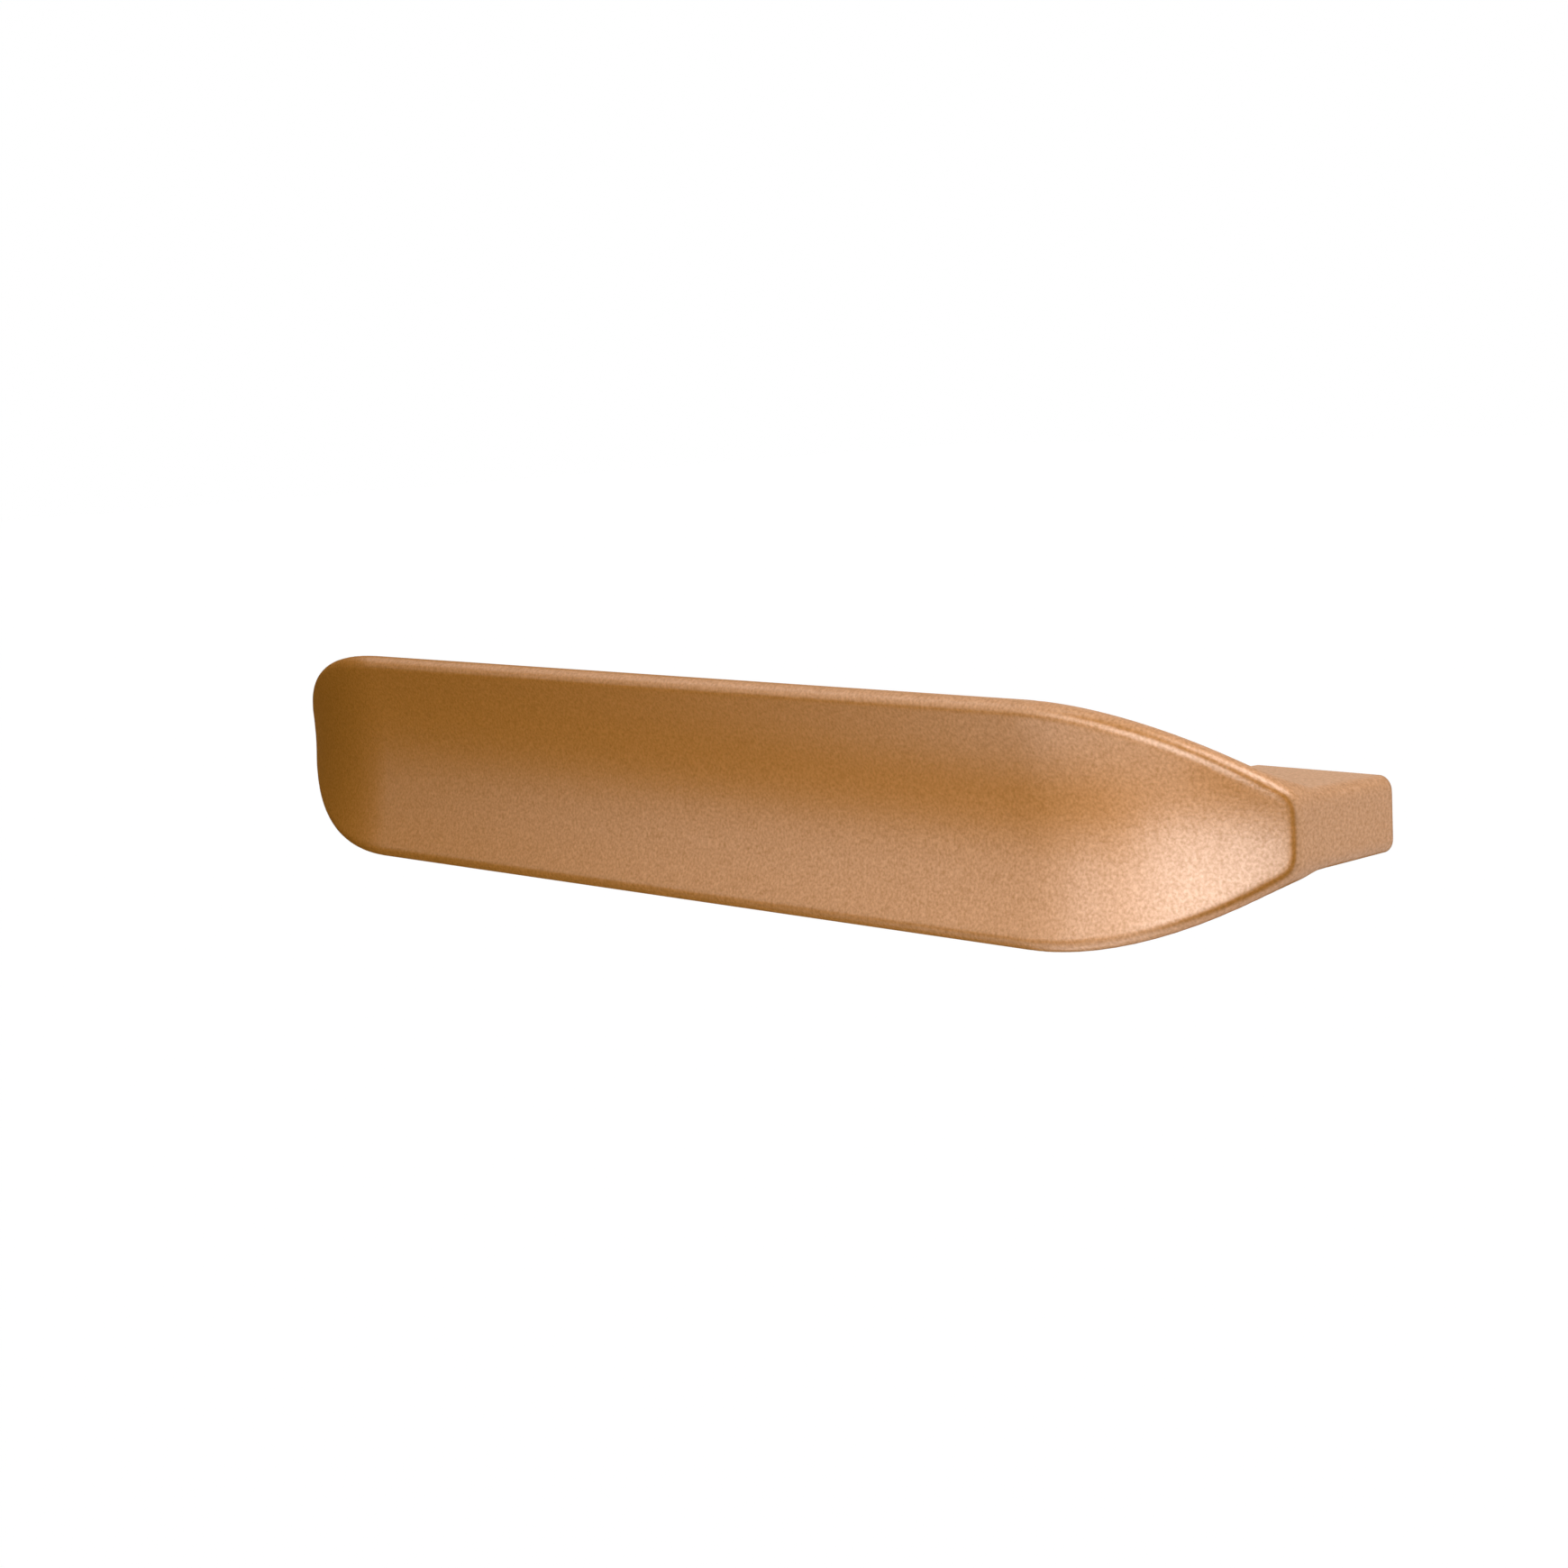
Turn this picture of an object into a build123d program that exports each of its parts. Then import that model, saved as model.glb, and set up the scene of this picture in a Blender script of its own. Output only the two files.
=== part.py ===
import os
from math import radians, tan

from build123d import *

# Driving dimensions in millimetres and degrees.
# X runs along the handle, the door is the plane y = 0, and the front faces -Y.
hole_centres = 160.0  # between the two fixing screws
leg_width = 20.0  # of a foot along X, centred on its screw
foot_height = 8.4
leg_draft = 1.1  # degrees on each face, wider towards the plate
leg_edge_radius = 2.0  # long edges on the finger side
root_radius = 2.4  # leg into the back of the plate
foot_chamfer = 0.4

projection = 27.2  # door to the front rim, before it is rounded
plate_height = 27.4
plate_thickness = 2.9
dish_depth = 2.3  # hollow of the front, at mid height
end_length = 29.7  # bent and tapered end of the plate, along X
bend_radius = 57.0  # of that end in plan, at the front rim
tip_height = 8.1  # of the plate's outline at its ends
tip_radius = 3.2  # round the corners of the outline
rim_radius = 1.2  # round the front
back_radius = 1.6  # round the back of the plate and down the legs

screw_bore = 3.3  # tapped for an M4 machine screw
screw_depth = 12.0
screw_mouth = 0.4  # chamfer at the foot
drill_point = 118.0  # degrees, at the bottom of the bore

# Worked out from the sizes above
length = hole_centres + leg_width
straight_length = length - 2 * end_length
half_height = plate_height / 2
dish_radius = (half_height**2 + dish_depth**2) / (2 * dish_depth)
dish_axis = dish_depth - dish_radius - projection  # its y, in front of the handle
overrun = 2 * tip_radius  # of what the outline trims
clear = 2 * projection  # reach of the tools that cut right through


def along_plate(section):
    # Carries a section in the YZ plane along the straight middle and round both bends.
    middle = extrude(Plane.YZ * section, amount=straight_length / 2, both=True)
    bend_start = Plane.YZ.offset(straight_length / 2)
    bend_axis = Axis((straight_length / 2, bend_radius - projection, 0), (0, 0, 1))
    bend = revolve(bend_start * section, axis=bend_axis, revolution_arc=90)
    return middle + bend + mirror(bend, about=Plane.YZ)


def up_to_arc(radius):
    # Section that fills the space from well ahead of the handle back to an arc about the dish's axis.
    ahead = Pos(-projection, 0) * Rectangle(2 * projection, plate_height + 2 * overrun)
    return ahead & Pos(dish_axis, 0) * Circle(radius)


def front_outline():
    # Level in the middle, then an arc down to a rounded tip at each end.
    half, bend, tip = length / 2, straight_length / 2, tip_height / 2
    top = Line((0, half_height), (bend, half_height))
    taper = TangentArc((bend, half_height), (half, tip), tangent=(1, 0))
    end = Line((half, tip), (half, 0))
    quarter = make_face([top, taper, end, Line((half, 0), (0, 0)), Line((0, 0), (0, half_height))])
    right = quarter + mirror(quarter, about=Plane.XZ)
    whole = right + mirror(right, about=Plane.YZ)
    columns = whole.vertices().group_by(Axis.X)
    return fillet(columns[0] + columns[-1], tip_radius)


def leg():
    # Drafted block from the foot into the plate, its outer end left long for the outline to trim.
    width = leg_width + overrun
    foot = Pos(length / 2 - leg_width + width / 2, 0) * Rectangle(width, foot_height)
    foot = fillet(foot.vertices().group_by(Axis.X)[0], leg_edge_radius)
    return extrude(Plane.XZ * foot, amount=projection - dish_depth, taper=-leg_draft)


def screw_hole(x):
    # Blind bore up from the foot, with a chamfered mouth and the drill's point at its bottom.
    radius = screw_bore / 2
    point = radius / tan(radians(drill_point / 2))
    upward = (Align.CENTER, Align.CENTER, Align.MIN)
    bore = Cylinder(radius, screw_depth, align=upward)
    mouth = Cone(radius + screw_mouth, radius, screw_mouth, align=upward)
    bottom = Pos(0, 0, screw_depth) * Cone(radius, 0, point, align=upward)
    return Plane.XZ * Pos(x, 0, 0) * (bore + mouth + bottom)


def pull_handle():
    # The plate starts as a thick bar, so its back and the legs are blended before the front is hollowed.
    bar = along_plate(up_to_arc(dish_radius + plate_thickness))
    right_leg = leg()
    legs = right_leg + mirror(right_leg, about=Plane.YZ)
    joined = bar + legs
    roots = new_edges(bar, legs, combined=joined)
    rooted = fillet(roots.filter_by(lambda e: abs(e.center().X) < length / 2), root_radius)

    outline = extrude(Plane.XZ * front_outline(), amount=2 * clear, both=True)
    trimmed = rooted & outline
    trim_edges = new_edges(rooted, outline, combined=trimmed)
    back_edges = trim_edges.filter_by(lambda e: -projection < e.center().Y < -foot_chamfer)
    rounded = fillet(back_edges, back_radius)

    dish = along_plate(up_to_arc(dish_radius))
    hollowed = rounded - dish
    rimmed = fillet(new_edges(rounded, dish, combined=hollowed), rim_radius)
    feet = rimmed.faces().group_by(Axis.Y)[-1]
    handle = chamfer(feet.edges(), foot_chamfer)
    return handle - screw_hole(hole_centres / 2) - screw_hole(-hole_centres / 2)


os.makedirs("parts", exist_ok=True)
export_step(pull_handle(), "parts/pull_handle.step")
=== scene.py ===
from math import cos, pi, radians, sin, tan

import bpy
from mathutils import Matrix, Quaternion, Vector


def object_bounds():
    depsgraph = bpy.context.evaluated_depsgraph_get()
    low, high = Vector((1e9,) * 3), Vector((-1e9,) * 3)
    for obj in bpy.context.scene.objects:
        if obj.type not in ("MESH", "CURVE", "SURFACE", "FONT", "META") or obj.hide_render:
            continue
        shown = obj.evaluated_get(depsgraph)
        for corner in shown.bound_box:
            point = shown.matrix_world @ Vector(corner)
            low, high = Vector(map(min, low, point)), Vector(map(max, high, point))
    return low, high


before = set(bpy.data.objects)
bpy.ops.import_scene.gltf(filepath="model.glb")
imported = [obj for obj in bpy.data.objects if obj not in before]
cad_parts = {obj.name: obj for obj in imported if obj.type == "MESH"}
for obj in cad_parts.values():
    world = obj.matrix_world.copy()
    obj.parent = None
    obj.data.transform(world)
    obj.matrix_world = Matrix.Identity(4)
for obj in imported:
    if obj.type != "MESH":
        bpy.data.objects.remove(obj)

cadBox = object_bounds()
lowest, highest = cadBox
middle = (lowest + highest) / 2
print("frame loaded", [round(1000 * side, 2) for side in highest - lowest], "mm")


# a node socket that takes part in sums, and adds any other node beside it
class Wire:
    def __init__(self, tree, socket=None):
        self.tree = tree
        self.socket = socket

    # kind of node, its settings, then the values or links of its sockets
    def node(self, kind, settings=None, inputs=None, out=0):
        made = self.tree.nodes.new(kind)
        for name, value in (settings or {}).items():
            setattr(made, name, value)
        for name, value in (inputs or {}).items():
            if isinstance(value, Wire):
                self.tree.links.new(value.socket, made.inputs[name])
            else:
                made.inputs[name].default_value = value
        return Wire(self.tree, made.outputs[out] if made.outputs else None)

    def sum(self, operation, first, second):
        return self.node("ShaderNodeMath", {"operation": operation}, {0: first, 1: second})

    def __add__(self, other):
        return self.sum("ADD", self, other)

    def __sub__(self, other):
        return self.sum("SUBTRACT", self, other)

    def __rsub__(self, other):
        return self.sum("SUBTRACT", other, self)

    def __mul__(self, other):
        return self.sum("MULTIPLY", self, other)

    __radd__ = __add__
    __rmul__ = __mul__


def newMaterial(name):
    material = bpy.data.materials.new(name)
    material.use_nodes = True
    material.node_tree.nodes.clear()
    return material, Wire(material.node_tree)


white = (1, 1, 1, 1)

coating = {
    "pigment": (0.57, 0.22, 0.008),
    "pigmentRoughness": 0.60,
    "pigmentMetallic": 0.8,
    "clear": white,
    "clearRoughness": 0.30,
    "clearMetallic": 1.0,
    "clearShare": 0.15,     # of the light that comes off the clear layer
    "softEdge": 0.0013,     # over which the thick coating rounds an edge
    "edgeSamples": 8,
    "grain": 0.00035,       # size of a speck
    "grainDetail": 1.0,
    "grainMean": 0.5,       # of the noise, where a speck changes nothing
    "grainInPigment": 0.60,
    "grainInClear": 1.2,
    "grainHeight": 0.00004,
    "grainStrength": 0.25,
}


def coatingMaterial():
    material, wire = newMaterial("copperGoldCoating")
    place = wire.node("ShaderNodeTexCoord", out="Object")
    grain = wire.node("ShaderNodeTexNoise", {}, {
        "Vector": place, "Scale": 1 / coating["grain"], "Detail": coating["grainDetail"]})
    soft = wire.node("ShaderNodeBevel", {"samples": coating["edgeSamples"]}, {"Radius": coating["softEdge"]})
    bump = wire.node("ShaderNodeBump", {}, {
        "Height": grain, "Strength": coating["grainStrength"], "Distance": coating["grainHeight"], "Normal": soft})
    speck = grain - coating["grainMean"]
    shade = 1 + speck * coating["grainInPigment"]
    colour = wire.node("ShaderNodeVectorMath", {"operation": "SCALE"}, {0: coating["pigment"], "Scale": shade})
    pigment = wire.node("ShaderNodeBsdfPrincipled", {}, {
        "Base Color": colour, "Metallic": coating["pigmentMetallic"],
        "Roughness": coating["pigmentRoughness"], "Normal": bump})
    clear = wire.node("ShaderNodeBsdfPrincipled", {}, {
        "Base Color": coating["clear"], "Metallic": coating["clearMetallic"],
        "Roughness": coating["clearRoughness"], "Normal": bump})
    share = coating["clearShare"] * (1 + speck * coating["grainInClear"])
    both = wire.node("ShaderNodeMixShader", {}, {0: share, 1: pigment, 2: clear})
    wire.node("ShaderNodeOutputMaterial", {}, {"Surface": both})
    return material


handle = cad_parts["pull_handle"]
handle.data.materials.clear()
handle.data.materials.append(coatingMaterial())
print("coating on the casting")


studio = {
    "ambient": 0.40,        # of the white surround on diffuse surfaces
    "floorDrop": 0.90,      # below the handle
    "floorColour": (0.80, 0.80, 0.80, 1),
    "floorSize": 40.0,
    "floorLit": 0.9,        # share of plain white in what is seen of the floor
    "floorGlow": 1.08,
}


# 1 where the background is looked at, straight or in a reflection
def seenRays(wire):
    seen = wire.node("ShaderNodeLightPath", out="Is Camera Ray")
    seen += wire.node("ShaderNodeLightPath", out="Is Glossy Ray")
    return seen + wire.node("ShaderNodeLightPath", out="Is Transmission Ray")


def surround():
    world = bpy.data.worlds.new("whiteSurround")
    bpy.context.scene.world = world
    world.use_nodes = True
    world.node_tree.nodes.clear()
    wire = Wire(world.node_tree)
    strength = studio["ambient"] + seenRays(wire) * (1 - studio["ambient"])
    sky = wire.node("ShaderNodeBackground", {}, {"Color": white, "Strength": strength})
    wire.node("ShaderNodeOutputWorld", {}, {"Surface": sky})


def paleFloor():
    bpy.ops.object.select_all(action="DESELECT")
    level = lowest.z - studio["floorDrop"]
    bpy.ops.mesh.primitive_plane_add(size=studio["floorSize"], location=(0, 0, level))
    floor = bpy.context.object
    floor.name = "floor"
    material, wire = newMaterial("paleFloor")
    matt = wire.node("ShaderNodeBsdfDiffuse", {}, {"Color": studio["floorColour"]})
    bright = wire.node("ShaderNodeEmission", {}, {"Color": white, "Strength": studio["floorGlow"]})
    both = wire.node("ShaderNodeMixShader", {}, {0: seenRays(wire) * studio["floorLit"], 1: matt, 2: bright})
    wire.node("ShaderNodeOutputMaterial", {}, {"Surface": both})
    floor.data.materials.append(material)


# plain white softboxes: their way in degrees round from the front and up, distance, size, and glow, where 1 is white
lamps = {
    "frontBox": {"round": 10, "up": 4, "away": 0.4, "size": (0.29, 0.23), "glow": 3.46},
    "sideBox": {"round": -20, "up": 8, "away": 0.4, "size": (0.142, 0.2), "glow": 1.85},
    "topBox": {"round": -4, "up": 56, "away": 0.35, "size": (0.3, 0.22), "glow": 0.55},
    "lowBox": {"round": -25, "up": -47, "away": 0.5, "size": (0.49, 0.49), "glow": 1.1},
    "leftBox": {"round": -60, "up": 30, "away": 0.5, "size": (0.2, 0.2), "glow": 0.67},
    "rightBox": {"round": 70, "up": 55, "away": 0.4, "size": (0.25, 0.25), "glow": 2.79},
}

lampAim = {"along": 0.75, "out": 0.85}      # near end that they face, as shares of the handle's box

# black cloths and a pale one that the coating reflects, out of the camera's sight: span round the handle, top, glow
cloths = {
    "backCloth": {"round": (-165, -132), "up": -2, "glow": 0.0},
    "leftCloth": {"round": (-132, -92), "up": 30, "glow": 0.0},
    "sideCloth": {"round": (-92, -52), "up": 30, "glow": 0.0},
    "lowCloth": {"round": (-52, -21), "up": -6, "glow": 0.0},
    "nearCloth": {"round": (-21, 30), "up": 67, "glow": 0.0},
    "rightCloth": {"round": (30, 65), "up": 67, "glow": 0.0},
    "farCloth": {"round": (65, 95), "up": 67, "glow": 0.9},
}
clothCut = {
    "inner": 0.61,          # each lies on the floor from here
    "outer": 1.1,           # out to where it hangs
    "level": 0.99,          # just above the floor, as a share of the drop to it
    "seed": 0.1,            # plane that its profile starts from
    "steps": 24,
}


def wayTo(round_, up):
    a, e = radians(round_), radians(up)
    return Vector((sin(a) * cos(e), -cos(a) * cos(e), sin(e)))


def softboxes():
    nearEnd = Vector((lampAim["along"] * highest.x, lampAim["out"] * lowest.y, 0))
    for name, box in lamps.items():
        way = wayTo(box["round"], box["up"])
        turn = way.to_track_quat("Z", "Y").to_euler()
        bpy.ops.object.light_add(type="AREA", location=nearEnd + way * box["away"], rotation=turn)
        lamp = bpy.context.object
        lamp.name = name
        lamp.data.shape = "RECTANGLE"
        lamp.data.size, lamp.data.size_y = box["size"]
        lamp.data.energy = box["glow"] * pi * box["size"][0] * box["size"][1]
        lamp.visible_camera = False


def hungCloths():
    inner, outer = clothCut["inner"], clothCut["outer"]
    drop = middle.z - lowest.z + clothCut["level"] * studio["floorDrop"]
    for name, cloth in cloths.items():
        bpy.ops.object.select_all(action="DESELECT")
        first, last = cloth["round"]
        out = wayTo(first, 0)
        bpy.ops.mesh.primitive_plane_add(size=clothCut["seed"], location=middle)
        made = bpy.context.object
        made.name = name
        bpy.ops.object.mode_set(mode="EDIT")
        bpy.ops.mesh.merge(type="CENTER")     # one corner is left, and drawn out and up into a profile
        bpy.ops.transform.translate(value=out * inner - Vector((0, 0, drop)))
        bpy.ops.mesh.extrude_region_move(TRANSFORM_OT_translate={"value": out * (outer - inner)})
        bpy.ops.mesh.extrude_region_move(
            TRANSFORM_OT_translate={"value": (0, 0, drop + outer * tan(radians(cloth["up"])))})
        bpy.ops.mesh.select_all(action="SELECT")
        span = radians(last - first)
        bpy.ops.mesh.spin(steps=clothCut["steps"], angle=-span, center=middle, axis=(0, 0, 1))
        bpy.ops.object.mode_set(mode="OBJECT")
        material, wire = newMaterial(name)
        shine = wire.node("ShaderNodeEmission", {}, {"Color": white, "Strength": cloth["glow"]})
        wire.node("ShaderNodeOutputMaterial", {}, {"Surface": shine})
        made.data.materials.append(material)
        made.visible_camera = False
        made.visible_shadow = False


surround()
paleFloor()
softboxes()
hungCloths()
print("studio lit")


camera = {
    "aim": (0.00370, -0.00968, -0.00144),
    "azimuth": 48.041,
    "elevation": 7.880,
    "roll": 2.856,
    "away": 0.39627,
    "lens": 72.97,
    "sensor": 36,
    "nearest": 0.01,
}


def photoCamera():
    back = wayTo(camera["azimuth"], camera["elevation"])
    turn = (-back).to_track_quat("-Z", "Y") @ Quaternion((0, 0, 1), -radians(camera["roll"]))
    at = Vector(camera["aim"]) + back * camera["away"]
    bpy.ops.object.camera_add(location=at, rotation=turn.to_euler())
    bpy.context.object.data.lens = camera["lens"]
    bpy.context.object.data.sensor_width = camera["sensor"]
    bpy.context.object.data.clip_start = camera["nearest"]
    bpy.context.scene.camera = bpy.context.object


photoCamera()
bpy.context.scene.view_settings.view_transform = "Standard"
print("camera set")
